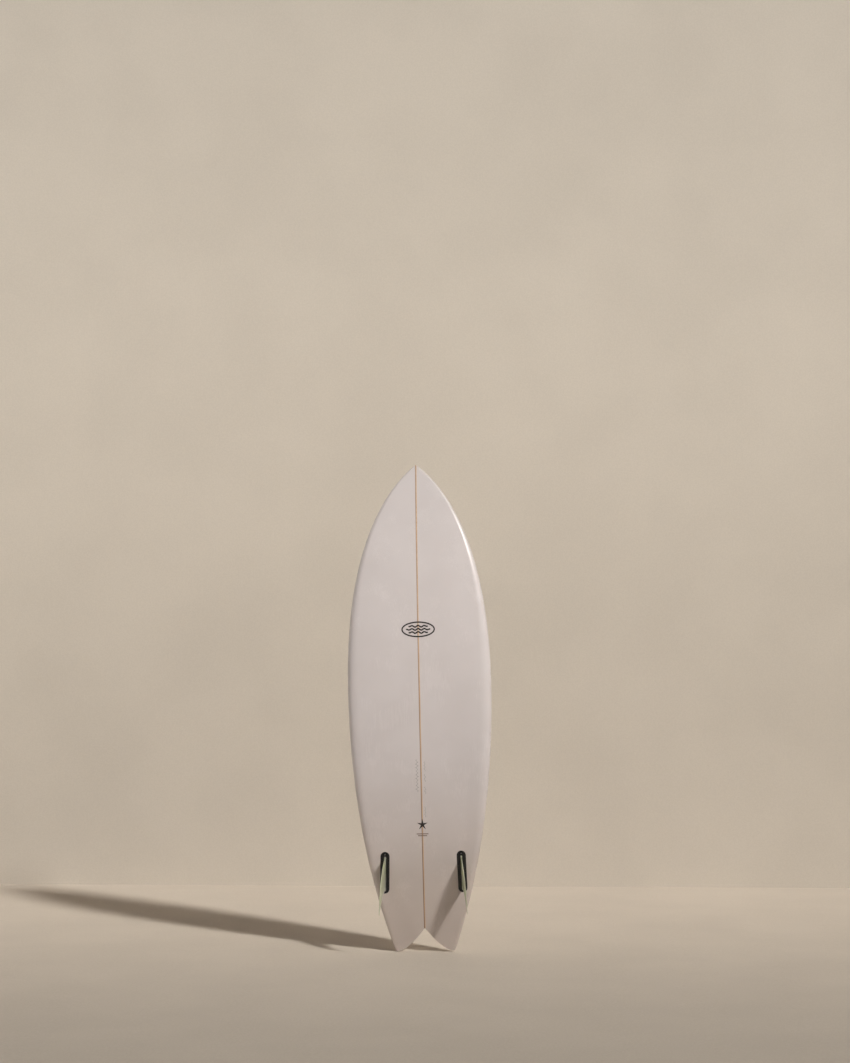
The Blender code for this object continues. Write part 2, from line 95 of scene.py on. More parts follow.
SCREW_RADIUS, SCREW_TOP, SCREW_TIP = 0.0024, 0.0008, 0.0105
SCREW_ENTRY, SCREW_LEAN = 0.0655, math.radians(30.0)
THREAD_PITCH, THREAD_DEPTH = 0.0008, 0.00028
THREAD_START, SCREW_CHAMFER, SCREW_POINT = 0.0004, 0.0005, 0.0008
SOCKET_RADIUS, SOCKET_DEPTH = 0.00145, 0.0030

PLUG_HEIGHT, PLUG_OFFSET = 0.165, 0.036
PLUG_RADIUS, PLUG_DEPTH = 0.0145, 0.0180
PLUG_MOUTH, PLUG_FLOOR, PLUG_HOLLOW = 0.0110, 0.0085, 0.0150
# The cup's foot and rounded lip, as (inward or outward, down) from its rim's edges.
CUP_FOOT = 0.001
LIP_OUTSIDE = ((0.0, 0.0006), (0.0002, 0.0002), (0.0006, 0.0))
LIP_INSIDE = ((0.0012, 0.0), (0.0005, 0.0003), (0.0, 0.0010))
PIN_RADIUS, PIN_HALF_LENGTH, PIN_DEPTH, PIN_CHAMFER = 0.0020, 0.0128, 0.0050, 0.0004

# Marks on the bottom: heights of their middles and half sizes.
BADGE_HEIGHT, BADGE_HALF, BADGE_LINE = 0.662 * LENGTH, (0.0570, 0.0255), 0.0050
SWELL_GAP, SWELL_REACHES = 0.0110, (0.034, 0.043, 0.034)
SWELL_RISE, SWELL_LENGTH, SWELL_LINE = 0.0028, 0.022, 0.0052
STAR_HEIGHT, STAR_HALF, STAR_WAIST, STAR_POINTS = 0.2625 * LENGTH, (0.0205, 0.0215), 0.30, 5
BAR_DROPS, BAR_REACHES, BAR_LINE = (0.0330, 0.0395), (0.0210, 0.0160), 0.0032
# Pencil scribbles: place across, lowest and highest share of the length, reach, loops and line width.
SCRIBBLES = (
    (-0.0150, 0.330, 0.396, 0.0060, 9, 0.0012),
    (0.0125, 0.372, 0.392, 0.0035, 3, 0.0010),
    (0.0125, 0.350, 0.366, 0.0035, 2, 0.0010),
    (0.0130, 0.326, 0.340, 0.0035, 2, 0.0010),
    (0.0115, 0.278, 0.300, 0.0025, 3, 0.0010),
)

# Fineness of the visual meshes.
STATIONS = 150
FLAT_STEPS, TUCK_STEPS, DECK_STEPS = 10, 12, 26
ARM_STEPS, TIP_STEPS = 28, 10
BLADE_SECTIONS, FOIL_STEPS = 34, 22
ROUND_STEPS, SCREW_STEPS, HOLE_STEPS, BOWL_STEPS = 64, 40, 24, 10
SEARCH_STEPS = 40
CUT_GAP = 0.00015
OVERSHOOT = 0.010
PRINT_LIFT, PRINT_SINK = 0.00012, 0.00010

# Camera, worked out from the board's own corners: a long lens, a little below the nose.
CAMERA_DISTANCE = 10.0
CAMERA_SHIFT = 0.0315
CAMERA_HEIGHT = 1.4884
CAMERA_AZIMUTH = math.radians(1.97)
CAMERA_ROLL = math.radians(-1.24)
CAMERA_LENS = 95.78

# Stage and light.
WALL_DISTANCE, WALL_SIDE, WALL_HEIGHT = 1.88, 9.0, 8.0
FLOOR_FRONT, FLOOR_SIDE, FLOOR_END = -2.8, 5.0, 30.0
# Floor and wall tones carry painted light: the floor lighter towards the wall, the wall lighter upwards.
FLOOR_TONE, FLOOR_PAINTED_LIGHT = (0.715, 0.626, 0.536), (-2.4, 2.0, 0.70, 1.0)
WALL_TONE, WALL_PAINTED_LIGHT = (0.690, 0.617, 0.535), (0.1, 2.6, 0.92, 1.30)
AIR_SEEN = (0.50, 0.45, 0.39, 1.0)
# Distances over which the far floor turns into a painted glow of the air's colour.
PAINTED_GLOW_SPAN = (3.0, 11.0)
MIDDLE = 0.5 * LENGTH
LAMP_TINT = (1.0, 0.985, 0.94)
KEY_TURN, KEY_HEIGHT, KEY_DISTANCE = math.radians(44.0), math.radians(34.0), 9.0
KEY_POWER, KEY_SIZE = 475.0, 0.85
STAGE_KEY_STRENGTH, STAGE_KEY_ANGLE = 3.05, math.radians(5.4)
NOSE_SPOT = {"spot_size": math.radians(33.0), "spot_blend": 1.0, "shadow_soft_size": 0.4}
# Fills for the board: name, kind, place, height aimed at, power and shape.
FILLS = (
    ("left_fill", "AREA", (-2.9, -3.4, 3.5), MIDDLE, 31.0, {"shape": "DISK", "size": 0.9}),
    ("rail_fill", "AREA", (-4.0, -0.7, 1.9), MIDDLE, 33.0, {"shape": "DISK", "size": 1.6}),
    ("nose_fill", "SPOT", (2.2, -3.1, 2.5), 1.25, 360.0, NOSE_SPOT),
    ("deck_fill", "AREA", (-1.3, 1.7, 2.3), MIDDLE, 40.0, {"shape": "DISK", "size": 1.0}),
)
AIR_TONE, AIR_STRENGTH = (1.0, 0.965, 0.93, 1.0), 0.02


# ---------------------------------------------------------------- curves
def bezier(curve, t):
    """Point of a cubic Bezier curve in the plane."""
    s = 1.0 - t
    weights = (s * s * s, 3 * s * s * t, 3 * s * t * t, t * t * t)
    return tuple(sum(w * p[axis] for w, p in zip(weights, curve)) for axis in (0, 1))


def bezier_line(curve, steps):
    return [bezier(curve, i / steps) for i in range(steps + 1)]


def value_at(curve, height):
    """First coordinate of a falling curve where its second coordinate equals height."""
    low, high = 0.0, 1.0
    for _ in range(SEARCH_STEPS):
        middle = 0.5 * (low + high)
        if bezier(curve, middle)[1] > height:
            low = middle
        else:
            high = middle
    return bezier(curve, low)[0]


def half_width(z):
    return value_at(NOSE_OUTLINE if z > WIDE_POINT else TAIL_OUTLINE, z)


def thickness(z):
    return value_at(NOSE_FOIL if z > WIDE_POINT else TAIL_FOIL, z)


def bottom_y(z):
    """The bottom's centre line in the frame."""
    if z > FLAT_POINT:
        return BOTTOM_Y + NOSE_ROCKER * ((z - FLAT_POINT) / (LENGTH - FLAT_POINT)) ** NOSE_POWER
    return BOTTOM_Y + TAIL_ROCKER * ((FLAT_POINT - z) / FLAT_POINT) ** TAIL_POWER


def slope(function, at, step=0.001):
    return (function(at + step) - function(at - step)) / (2 * step)


def tuck_width(z):
    """Width of the rounding under the rail."""
    if z > WIDE_POINT:
        return NOSE_TUCK + (MID_TUCK - NOSE_TUCK) * (LENGTH - z) / (LENGTH - WIDE_POINT)
    return TAIL_TUCK + (MID_TUCK - TAIL_TUCK) * min(max(z / TUCK_HEIGHT, 0.0), 1.0)


def section(z):
    """Right half of a cross-section: keel to rail, then rail to deck centre."""
    width = half_width(z)
    keel = bottom_y(z)
    crown = keel + thickness(z)
    apex = keel + APEX_SHARE * thickness(z)
    tuck = min(tuck_width(z), TUCK_SHARE * width)
    flat = width - tuck
    lift = keel + TUCK_LIFT * (apex - keel)
    tuck_curve = ((flat, keel), (width - TUCK_HANDLE * tuck, keel), (width, lift), (width, apex))
    shoulder = apex + DECK_SHOULDER * (crown - apex)
    deck_curve = ((width, apex), (width, shoulder), (DECK_CROWN * width, crown), (0.0, crown))
    lower = [(flat * i / FLAT_STEPS, keel) for i in range(FLAT_STEPS)] + bezier_line(tuck_curve, TUCK_STEPS)
    return lower, bezier_line(deck_curve, DECK_STEPS)


def deck_y(x, z):
    """Deck surface at a place on the board."""
    line = section(z)[1]
    for (outer_x, outer_y), (inner_x, inner_y) in zip(line, line[1:]):
        if inner_x <= abs(x) <= outer_x:
            share = (abs(x) - inner_x) / (outer_x - inner_x)
            return inner_y + share * (outer_y - inner_y)
    return line[-1][1]


# ---------------------------------------------------------------- mesh helpers
def mesh_from(name, build):
    work = bmesh.new()
    build(work)
    bmesh.ops.recalc_face_normals(work, faces=work.faces)
    mesh = bpy.data.meshes.new(name)
    work.to_mesh(mesh)
    work.free()
    return mesh


def loft(name, rings, close_end=True, slot_of=None):
    """Solid through closed rings of equal point count; slot_of gives each side face's material slot."""
    def build(work):
        rows = [[work.verts.new(point) for point in ring] for ring in rings]
        count = len(rings[0])
        for low, high in zip(rows, rows[1:]):
            for i in range(count):
                j = (i + 1) % count
                face = work.faces.new((low[i], low[j], high[j], high[i]))
                face.material_index = slot_of(i) if slot_of else 0
        work.faces.new(rows[0])
        if close_end:
            work.faces.new(rows[-1])
        bmesh.ops.remove_doubles(work, verts=work.verts, dist=0.000001)
    return mesh_from(name, build)


def outline_mesh(name, outlines, bottom, top, rounding=0.0):
    """Flat outlines in the xy plane, the later ones as holes, made solid with rounded edges."""
    curve = bpy.data.curves.new(name, "CURVE")
    curve.dimensions = "2D"
    curve.fill_mode = "BOTH"
    curve.extrude = 0.5 * (top - bottom) - rounding
    curve.bevel_depth = rounding
    curve.bevel_resolution = 2
    curve.offset = -rounding
    for outline in outlines:
        line = curve.splines.new("POLY")
        line.points.add(len(outline) - 1)
        for point, (x, y) in zip(line.points, outline):
            point.co = (x, y, 0.0, 1.0)
        line.use_cyclic_u = True
    holder = bpy.data.objects.new(name, curve)
    bpy.context.scene.collection.objects.link(holder)
    graph = bpy.context.evaluated_depsgraph_get()
    mesh = bpy.data.meshes.new_from_object(holder.evaluated_get(graph))
    bpy.data.objects.remove(holder)
    mesh.transform(Matrix.Translation((0.0, 0.0, 0.5 * (bottom + top))))
    work = bmesh.new()
    work.from_mesh(mesh)
    bmesh.ops.remove_doubles(work, verts=work.verts, dist=0.00001)
    bmesh.ops.recalc_face_normals(work, faces=work.faces)
    work.to_mesh(mesh)
    work.free()
    return mesh


def turned(name, profile, steps=ROUND_STEPS):
    """Solid of revolution about z from (radius, z) points that start and end on the axis."""
    def build(work):
        rings = []
        for radius, z in profile:
            if radius == 0.0:
                rings.append([work.verts.new((0.0, 0.0, z))])
                continue
            turns = (2 * math.pi * i / steps for i in range(steps))
            rings.append([work.verts.new((radius * math.cos(a), radius * math.sin(a), z)) for a in turns])
        for low, high in zip(rings, rings[1:]):
            for i in range(steps):
                j = (i + 1) % steps
                corners = [low[i % len(low)], low[j % len(low)], high[j % len(high)], high[i % len(high)]]
                work.faces.new(list(dict.fromkeys(corners)))
    return mesh_from(name, build)


def obround(radius, front, rear, steps=24):
    """Outline of a slot with round ends, along y."""
    turns = [math.pi * i / steps for i in range(steps + 1)]
    ahead = [(radius * math.cos(turn), front - radius + radius * math.sin(turn)) for turn in turns]
    behind = [(-radius * math.cos(turn), rear + radius - radius * math.sin(turn)) for turn in turns]
    return ahead + behind


def upright(mesh):
    """Turns a flat solid so that its outline stands in the xz plane."""
    mesh.transform(Matrix.Rotation(0.5 * math.pi, 4, "X"))
    return mesh


def add_piece(name, mesh, materials, body, slot, *nodes, place=None, smooth=35.0):
    """A visual piece that rides on a CAD body and stands for CAD nodes; its slot is not used."""
    mesh.materials.clear()
    for item in materials:
        mesh.materials.append(item)
    if place is not None:
        mesh.transform(place)
    mesh.shade_smooth()
    mesh.set_sharp_from_angle(angle=math.radians(smooth))
    piece = bpy.data.objects.new(name, mesh)
    bpy.context.scene.collection.objects.link(piece)
    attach(piece, body)
    if nodes:
        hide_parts(*nodes)
    return piece


def carved(mesh, cutters):
    """The mesh with each cutter mesh taken away; cut faces keep the cutter's material."""
    piece = bpy.data.objects.new("carving", mesh)
    bpy.context.scene.collection.objects.link(piece)
    tools = []
    for cutter in cutters:
        tool = bpy.data.objects.new("cutter", cutter)
        bpy.context.scene.collection.objects.link(tool)
        step = piece.modifiers.new("cut", "BOOLEAN")
        step.operation = "DIFFERENCE"
        step.solver = "EXACT"
        step.material_mode = "TRANSFER"
        step.object = tool
        tools.append(tool)
    graph = bpy.context.evaluated_depsgraph_get()
    result = bpy.data.meshes.new_from_object(piece.evaluated_get(graph))
    for item in [piece, *tools]:
        bpy.data.objects.remove(item)
    return result


# ---------------------------------------------------------------- places
def seat(point, normal, along):
    """Frame on the surface: local z leaves the surface, local y runs towards the nose."""
    out = Vector(normal).normalized()
    lengthways = Vector(along)
    lengthways = (lengthways - out * lengthways.dot(out)).normalized()
    turn = Matrix((lengthways.cross(out), lengthways, out)).transposed()
    return Matrix.Translation(point) @ turn.to_4x4()


def box_seat(side):
    tilt = slope(bottom_y, BOX_HEIGHT)
    point = (side * BOX_OFFSET, bottom_y(BOX_HEIGHT) + BOX_SINK, BOX_HEIGHT)
    return seat(point, (0.0, -1.0, tilt), (-side * math.tan(TOE_IN), tilt, 1.0))


def fin_axis(side):
    return box_seat(side) @ Matrix.Rotation(side * CANT, 4, "Y")


def screw_axis(side):
    lean = Matrix.Rotation(-SCREW_LEAN, 4, "X")
    return fin_axis(side) @ Matrix.Translation((0.0, SCREW_ENTRY, 0.0)) @ lean


def plug_seat():
    along = slope(lambda z: deck_y(PLUG_OFFSET, z), PLUG_HEIGHT)
    across = slope(lambda x: deck_y(x, PLUG_HEIGHT), PLUG_OFFSET)
    point = (PLUG_OFFSET, deck_y(PLUG_OFFSET, PLUG_HEIGHT), PLUG_HEIGHT)
    return seat(point, (-across, 1.0, -along), (0.0, along, 1.0))


# ---------------------------------------------------------------- node helpers
class Shader:
    """A material's node tree, built from left to right."""

    def __init__(self, name):
        self.material = bpy.data.materials.new(name)
        self.material.use_nodes = True
        self.tree = self.material.node_tree
        self.principled = self.tree.nodes["Principled BSDF"]
        self.place = self.add("ShaderNodeTexCoord").outputs["Object"]

    def add(self, kind, **inputs):
        """A node with its inputs set or linked; input names have _ for a space."""
        made = self.tree.nodes.new(kind)
        for name, value in inputs.items():
            self.feed(made.inputs[name.replace("_", " ")], value)
        return made

    def feed(self, socket, value):
        if isinstance(value, bpy.types.NodeSocket):
            self.tree.links.new(value, socket)
        else:
            socket.default_value = value

    def surface(self, **inputs):
        for name, value in inputs.items():
            self.feed(self.principled.inputs[name.replace("_", " ")], value)

    def calc(self, operation, *values):
        made = self.tree.nodes.new("ShaderNodeMath")
        made.operation = operation
        for socket, value in zip(made.inputs, values):
            self.feed(socket, value)
        return made.outputs[0]

    def axis(self, name):
        return self.add("ShaderNodeSeparateXYZ", Vector=self.place).outputs[name]

    def stretched(self, x, y, z):
        made = self.add("ShaderNodeMapping", Vector=self.place, Scale=(x, y, z))
        return made.outputs[0]

    def noise(self, scale, detail=2.0, vector=None, roughness=0.5):
        made = self.add("ShaderNodeTexNoise", Vector=vector or self.place, Scale=scale, Detail=detail,
                        Roughness=roughness)
        return made.outputs["Fac"]

    def cells(self, scale):
        return self.add("ShaderNodeTexVoronoi", Vector=self.place, Scale=scale).outputs["Distance"]

    def span(self, value, low, high, out_low=0.0, out_high=1.0):
        """Smooth step of value from low to high."""
        made = self.tree.nodes.new("ShaderNodeMapRange")
        made.interpolation_type = "SMOOTHSTEP"
        for name, item in (("Value", value), ("From Min", low), ("From Max", high),
                           ("To Min", out_low), ("To Max", out_high)):
            self.feed(made.inputs[name], item)
        return made.outputs[0]

    def band(self, value, centre, half, soft):
        """1 inside a band of value about centre, 0 outside it."""
        away = self.calc("ABSOLUTE", self.calc("SUBTRACT", value, centre))
        return self.span(away, half - soft, half + soft, 1.0, 0.0)

    def blend(self, share, first, second, mode="MIX"):
        made = self.tree.nodes.new("ShaderNodeMix")
        made.data_type = "RGBA"
        made.blend_type = mode
        sockets = (made.inputs[0], made.inputs[6], made.inputs[7])
        for socket, item in zip(sockets, (share, first, second)):
            self.feed(socket, item)
        return made.outputs[2]

    def bump(self, height, strength, distance, normal=None):
        made = self.add("ShaderNodeBump", Height=height, Strength=strength, Distance=distance)
        if normal is not None:
            self.feed(made.inputs["Normal"], normal)
        return made.outputs[0]

    def weave(self, first, second, pitch):
        """Plain weave of two thread directions with this spacing, as a height from -1 to 1."""
        turn = math.pi / pitch
        return self.calc("MULTIPLY", self.calc("SINE", self.calc("MULTIPLY", first, turn)),
                         self.calc("SINE", self.calc("MULTIPLY", second, turn)))


    def mean(self, first, share, second):
        """first times share, plus second times the rest."""
        rest = self.calc("MULTIPLY", second, 1.0 - share)
        return self.calc("ADD", self.calc("MULTIPLY", first, share), rest)


def colour(red, green, blue):
    return (red, green, blue, 1.0)


# ---------------------------------------------------------------- materials
FOAM_TONE = colour(0.615, 0.556, 0.550)
FOAM_SHADE = colour(0.575, 0.517, 0.509)
# Painted shade and warm floor bounce, multiplied into the foam towards the tail.
TAIL_PAINTED_SHADE = colour(0.93, 0.875, 0.81)
WOOD_LIGHT = colour(0.680, 0.490, 0.330)
WOOD_DARK = colour(0.500, 0.320, 0.190)
# Glue line and painted shadow of the raised stringer, used on its left side only.
GLUE_AND_SHADOW = colour(0.170, 0.085, 0.050)


def wood_colour(made):
    """Straight-grained strip that runs up the board."""
    streaks = made.noise(1.0, 4.0, made.stretched(1500.0, 1500.0, 14.0), 0.6)
    rings = made.noise(1.0, 2.0, made.stretched(420.0, 420.0, 5.0))
    grain = made.span(made.mean(streaks, 0.6, rings), 0.36, 0.66)
    return made.blend(grain, WOOD_LIGHT, WOOD_DARK)


def foam_colour(made, threads):
    """Clouded foam, with painted shade and painted warm floor bounce that make it darker and warmer towards
    the tail, under the cloth's pale threads.
    """
    tone = made.mean(made.noise(5.0, 3.0), 0.75, made.noise(1400.0, 1.0))
    foam = made.blend(made.span(tone, 0.32, 0.68), FOAM_SHADE, FOAM_TONE)
    # Painted shade and warm floor bounce: the foam grows darker and warmer towards the tail.
    foam = made.blend(made.span(made.axis("Z"), 0.05, 0.75, 1.0, 0.0), foam, TAIL_PAINTED_SHADE, "MULTIPLY")
    return made.blend(made.calc("MULTIPLY_ADD", threads, 0.02, 0.02), foam, colour(0.80, 0.80, 0.80))


def with_stringer(made, foam):
    """The stringer's strip over the foam, with a dark line on its left that is glue line and painted shadow
    of the raised strip, and painted shade that makes both darker towards the tail.
    """
    wander = made.calc("MULTIPLY", made.calc("SUBTRACT", made.noise(3.0, 1.0), 0.5), 0.0004)
    across = made.calc("ADD", made.axis("X"), wander)
    # Painted shade: the wood darkens and the left line strengthens towards the tail.
    painted_tail_shade = made.span(made.axis("Z"), 0.10, 1.05, 1.0, 0.0)
    wood = made.blend(made.calc("MULTIPLY", painted_tail_shade, 0.60), wood_colour(made), WOOD_DARK)
    base = made.blend(made.band(across, 0.0, 0.5 * STRINGER, 0.0003), foam, wood)
    # Left side only: glue line and the painted shadow the raised stringer casts away from the key light.
    line = made.band(across, -0.38 * STRINGER, 0.0012, 0.0003)
    line = made.calc("MULTIPLY", line, made.calc("MULTIPLY_ADD", painted_tail_shade, 0.40, 0.55))
    return made.blend(line, base, GLUE_AND_SHADOW)


def with_patch(made, base):
    """The second cloth on the deck, up to a straight edge short of the nose and the rails."""
    patch = made.span(made.calc("ABSOLUTE", made.axis("X")), 0.150, 0.152, 1.0, 0.0)
    patch = made.calc("MULTIPLY", patch, made.span(made.axis("Z"), 1.18, 1.182, 1.0, 0.0))
    return made.blend(made.calc("MULTIPLY", patch, 0.10), base, colour(0.60, 0.62, 0.56))


def glassed_foam(name, deck):
    """Foam and stringer seen through a clear glass skin with a satin coat."""
    made = Shader(name)
    threads = made.weave(made.axis("X"), made.axis("Z"), 0.0011)
    base = with_stringer(made, foam_colour(made, threads))
    if deck:
        base = with_patch(made, base)
    scratches = made.noise(1.0, 3.0, made.stretched(900.0, 900.0, 16.0))
    polish = made.span(made.mean(scratches, 0.4, made.noise(9.0, 4.0)), 0.35, 0.70, 0.24, 0.29)
    ripple = made.bump(made.noise(16.0, 2.0), 0.05, 0.004)
    made.surface(Base_Color=base, Roughness=0.42,
                 Coat_Weight=0.8, Coat_Roughness=polish, Coat_IOR=1.52, Coat_Normal=ripple,
                 Subsurface_Weight=0.10, Subsurface_Radius=(0.9, 0.7, 0.6), Subsurface_Scale=0.004,
                 Normal=made.bump(threads, 0.06, 0.0002, ripple))
    return made.material


def tail_edge():
    """The cut face round the swallow tail: glassed foam with the stringer's end and brush marks."""
    made = Shader("tail_edge_glass")
    x = made.axis("X")
    streaks = made.noise(1.0, 3.0, made.stretched(60.0, 900.0, 60.0))
    foam = made.blend(made.span(streaks, 0.3, 0.7), FOAM_SHADE, FOAM_TONE)
    base = made.blend(made.band(x, 0.0, 0.5 * STRINGER, 0.0003), foam, wood_colour(made))
    made.surface(Base_Color=base, Roughness=0.40, Coat_Weight=1.0, Coat_IOR=1.52,
                 Coat_Roughness=made.span(made.noise(90.0, 2.0), 0.3, 0.7, 0.05, 0.2),
                 Normal=made.bump(streaks, 0.10, 0.0004))
    return made.material


def pocket_wall():
    """Routed foam round a fin box or plug, with set resin."""
    made = Shader("pocket_resin")
    base = made.blend(made.noise(600.0, 3.0), colour(0.30, 0.28, 0.25), colour(0.55, 0.51, 0.46))
    made.surface(Base_Color=base, Roughness=made.span(made.noise(300.0), 0.3, 0.7, 0.35, 0.8),
                 Normal=made.bump(made.cells(900.0), 0.4, 0.0003))
    return made.material


def fin_glass():
    """Pale green glass-fibre fin: layered cloth that lets some light through."""
    made = Shader("fin_glass_cloth")
    y, z = made.axis("Y"), made.axis("Z")
    threads = made.weave(made.calc("ADD", y, z), made.calc("SUBTRACT", y, z), 0.0010)
    layers = made.noise(55.0, 3.0)
    tone = made.mean(layers, 0.7, made.calc("MULTIPLY_ADD", threads, 0.5, 0.5))
    base = made.blend(made.span(tone, 0.30, 0.72), colour(0.50, 0.51, 0.37), colour(0.62, 0.625, 0.485))
    made.surface(Base_Color=base, Roughness=made.span(layers, 0.3, 0.7, 0.34, 0.50),
                 Coat_Weight=0.25, Coat_Roughness=0.15, IOR=1.45, Transmission_Weight=0.30,
                 Subsurface_Weight=1.0, Subsurface_Radius=(0.9, 1.0, 0.75), Subsurface_Scale=0.012,
                 Normal=made.bump(threads, 0.10, 0.0002))
    return made.material


def moulded_black(name, rough_low, rough_high, shine):
    """Black moulded plastic with a fine spark texture and sanding marks."""
    made = Shader(name)
    spark = made.noise(1800.0, 3.0)
    sanding = made.noise(1.0, 3.0, made.stretched(2200.0, 400.0, 90.0))
    dust = made.span(made.noise(220.0, 5.0, roughness=0.7), 0.58, 0.80)
    worn = made.span(sanding, 0.35, 0.75)
    base = made.blend(worn, colour(0.005, 0.005, 0.006), colour(0.012, 0.011, 0.011))
    base = made.blend(made.calc("MULTIPLY", dust, 0.10), base, colour(0.16, 0.145, 0.13))
    made.surface(Base_Color=base, Roughness=made.span(sanding, 0.25, 0.75, rough_low, rough_high),
                 Coat_Weight=shine, Coat_Roughness=0.12, Normal=made.bump(spark, 0.22, 0.0001))
    return made.material


def brushed_steel(name, x, y, z):
    """Stainless steel with drawn lines along one direction, and stain near them."""
    made = Shader(name)
    lines = made.noise(1.0, 4.0, made.stretched(x, y, z), 0.65)
    stain = made.noise(700.0, 3.0)
    base = made.blend(made.span(lines, 0.3, 0.7), colour(0.52, 0.50, 0.47), colour(0.78, 0.77, 0.74))
    base = made.blend(made.span(stain, 0.62, 0.80, 0.0, 0.5), base, colour(0.30, 0.22, 0.15))
    made.surface(Base_Color=base, Metallic=1.0, Roughness=made.span(lines, 0.3, 0.7, 0.20, 0.38),
                 Normal=made.bump(lines, 0.15, 0.0001))
    return made.material


def ink(name, dark, light, wear):
    """Printing or pencil on paper tissue, seen through the gloss coat, with broken coverage."""
    made = Shader(name)
    grain = made.noise(2600.0, 3.0, roughness=0.7)
    base = made.blend(made.span(grain, 0.45, 0.75, 0.0, wear), dark, light)
    made.surface(Base_Color=base, Roughness=0.5, Coat_Weight=1.0, Coat_Roughness=0.06,
                 Normal=made.bump(grain, 0.08, 0.00005))
    return made.material


def raw_foam():
    """Shaped foam of the core: fine cells and sanding lines."""
    made = Shader("raw_foam")
    cells = made.cells(1500.0)
    base = made.blend(made.span(cells, 0.1, 0.6), FOAM_SHADE, colour(0.84, 0.81, 0.77))
    made.surface(Base_Color=base, Roughness=made.span(cells, 0.1, 0.6, 0.75, 0.95),
                 Normal=made.bump(cells, 0.5, 0.0003))
    return made.material


def raw_wood():
    made = Shader("stringer_basswood")
    grain = made.noise(1.0, 4.0, made.stretched(1500.0, 1500.0, 14.0))
    made.surface(Base_Color=wood_colour(made), Roughness=made.span(made.noise(800.0), 0.3, 0.7, 0.5, 0.75),
                 Normal=made.bump(grain, 0.3, 0.0002))
    return made.material


# ---------------------------------------------------------------- the board
def board_rings():
    start = TAIL_OUTLINE[3][1]
    rise = LENGTH - start
    rings = []
    for i in range(STATIONS):
        z = start + rise * math.sin(0.5 * math.pi * i / STATIONS)
        lower, upper = section(z)
        right = lower + upper[1:]
        left = [(-x, y) for x, y in reversed(right[1:-1])]
        rings.append([(x, y, z) for x, y in right + left])
    tip = (0.0, bottom_y(LENGTH) + APEX_SHARE * thickness(LENGTH), LENGTH)
    rings.append([tip] * len(rings[0]))
    return rings


def on_bottom(i):
    """Whether side face i of a ring is on the bottom, from rail to rail."""
    lower = FLAT_STEPS + TUCK_STEPS
    return i < lower or i >= 2 * (lower + DECK_STEPS) - lower


def tail_cutter():
    half = bezier_line(NOTCH_ARM, ARM_STEPS) + bezier_line(TAIL_TIP, TIP_STEPS)[1:] + [TIP_RUN_OUT]
    line = [(-x, z) for x, z in reversed(half[1:])] + half
    below = TAIL_OUTLINE[3][1] - OVERSHOOT
    outline = line + [(TIP_RUN_OUT[0], below), (-TIP_RUN_OUT[0], below)]
    return upright(outline_mesh("tail_cutter", [outline], -HALF_WIDTH, HALF_WIDTH))


def pocket_cutters():
    """Cutters for the two fin boxes and the leash plug."""
    resin = pocket_wall()
    reach = 0.5 * BOX_LENGTH + CUT_GAP
    cutters = []
    for side in (-1, 1):
        outline = obround(0.5 * BOX_WIDTH + CUT_GAP, reach, -reach)
        pocket = outline_mesh("pocket", [outline], -BOX_DEPTH - CUT_GAP, OVERSHOOT)
        pocket.transform(box_seat(side))
        cutters.append(pocket)
    radius = PLUG_RADIUS + CUT_GAP
    hole = [(0.0, OVERSHOOT), (radius, OVERSHOOT), (radius, -PLUG_DEPTH), (0.0, -PLUG_DEPTH)]
    pocket = turned("pocket", hole)
    pocket.transform(plug_seat())
    cutters.append(pocket)
    for cutter in cutters:
        cutter.materials.append(resin)
    return cutters


def add_board():
    """The glassed board, with its tail cut and the holes for the boxes and the plug."""
    mesh = loft("board_glass", board_rings(), False, lambda i: 0 if on_bottom(i) else 1)
    mesh.materials.append(glassed_foam("bottom_glass", False))
    mesh.materials.append(glassed_foam("deck_glass", True))
    tail = tail_cutter()
    tail.materials.append(tail_edge())
    shape = carved(mesh, [tail, *pocket_cutters()])
    add_piece("board_glass", shape, list(shape.materials), "board", "clear_glass",
              "bottom_laminate", "deck_laminate", "tail_wrap")


# ---------------------------------------------------------------- fins, boxes and screws
def together(name, *parts):
    """One mesh that holds several closed ones."""
    work = bmesh.new()
    for part in parts:
        work.from_mesh(part)
    mesh = bpy.data.meshes.new(name)
    work.to_mesh(mesh)
    work.free()
    return mesh


def foil_ring(share, height, front, back):
    """Section of the blade between two edge points, closed round both."""
    thick = ROOT_THICKNESS + (TIP_THICKNESS - ROOT_THICKNESS) * share
    root, first, second, third, fourth = FOIL_FACTORS
    side = []
    for i in range(FOIL_STEPS + 1):
        c = 0.5 * (1.0 - math.cos(math.pi * i / FOIL_STEPS))
        shape = root * math.sqrt(c) + first * c + second * c ** 2 + third * c ** 3 + fourth * c ** 4
        half = 0.5 * max(thick * shape, EDGE_THICKNESS * min(1.0, 8.0 * c))
        y = BLADE_ROOT_FRONT - front[0] - (back[0] - front[0]) * c
        z = height + front[1] + (back[1] - front[1]) * c
        side.append((half, y, z))
    return side + [(-x, y, z) for x, y, z in reversed(side[1:])]


def fin_mesh():
    """Blade and tab as one mesh, in the frame of the fin's own lean."""
    rings = [foil_ring(0.0, -BLADE_ROOT_DEPTH, BLADE_FRONT[0], BLADE_BACK[0])]
    for i in range(BLADE_SECTIONS + 1):
        t = i / BLADE_SECTIONS
        rings.append(foil_ring(t, 0.0, bezier(BLADE_FRONT, t), bezier(BLADE_BACK, t)))
    outline = obround(0.5 * TAB_WIDTH, TAB_FRONT, TAB_REAR)
    tab = outline_mesh("tab", [outline], -TAB_DEPTH, 0.0, TAB_ROUNDING)
    return together("fin", loft("blade", rings), tab)


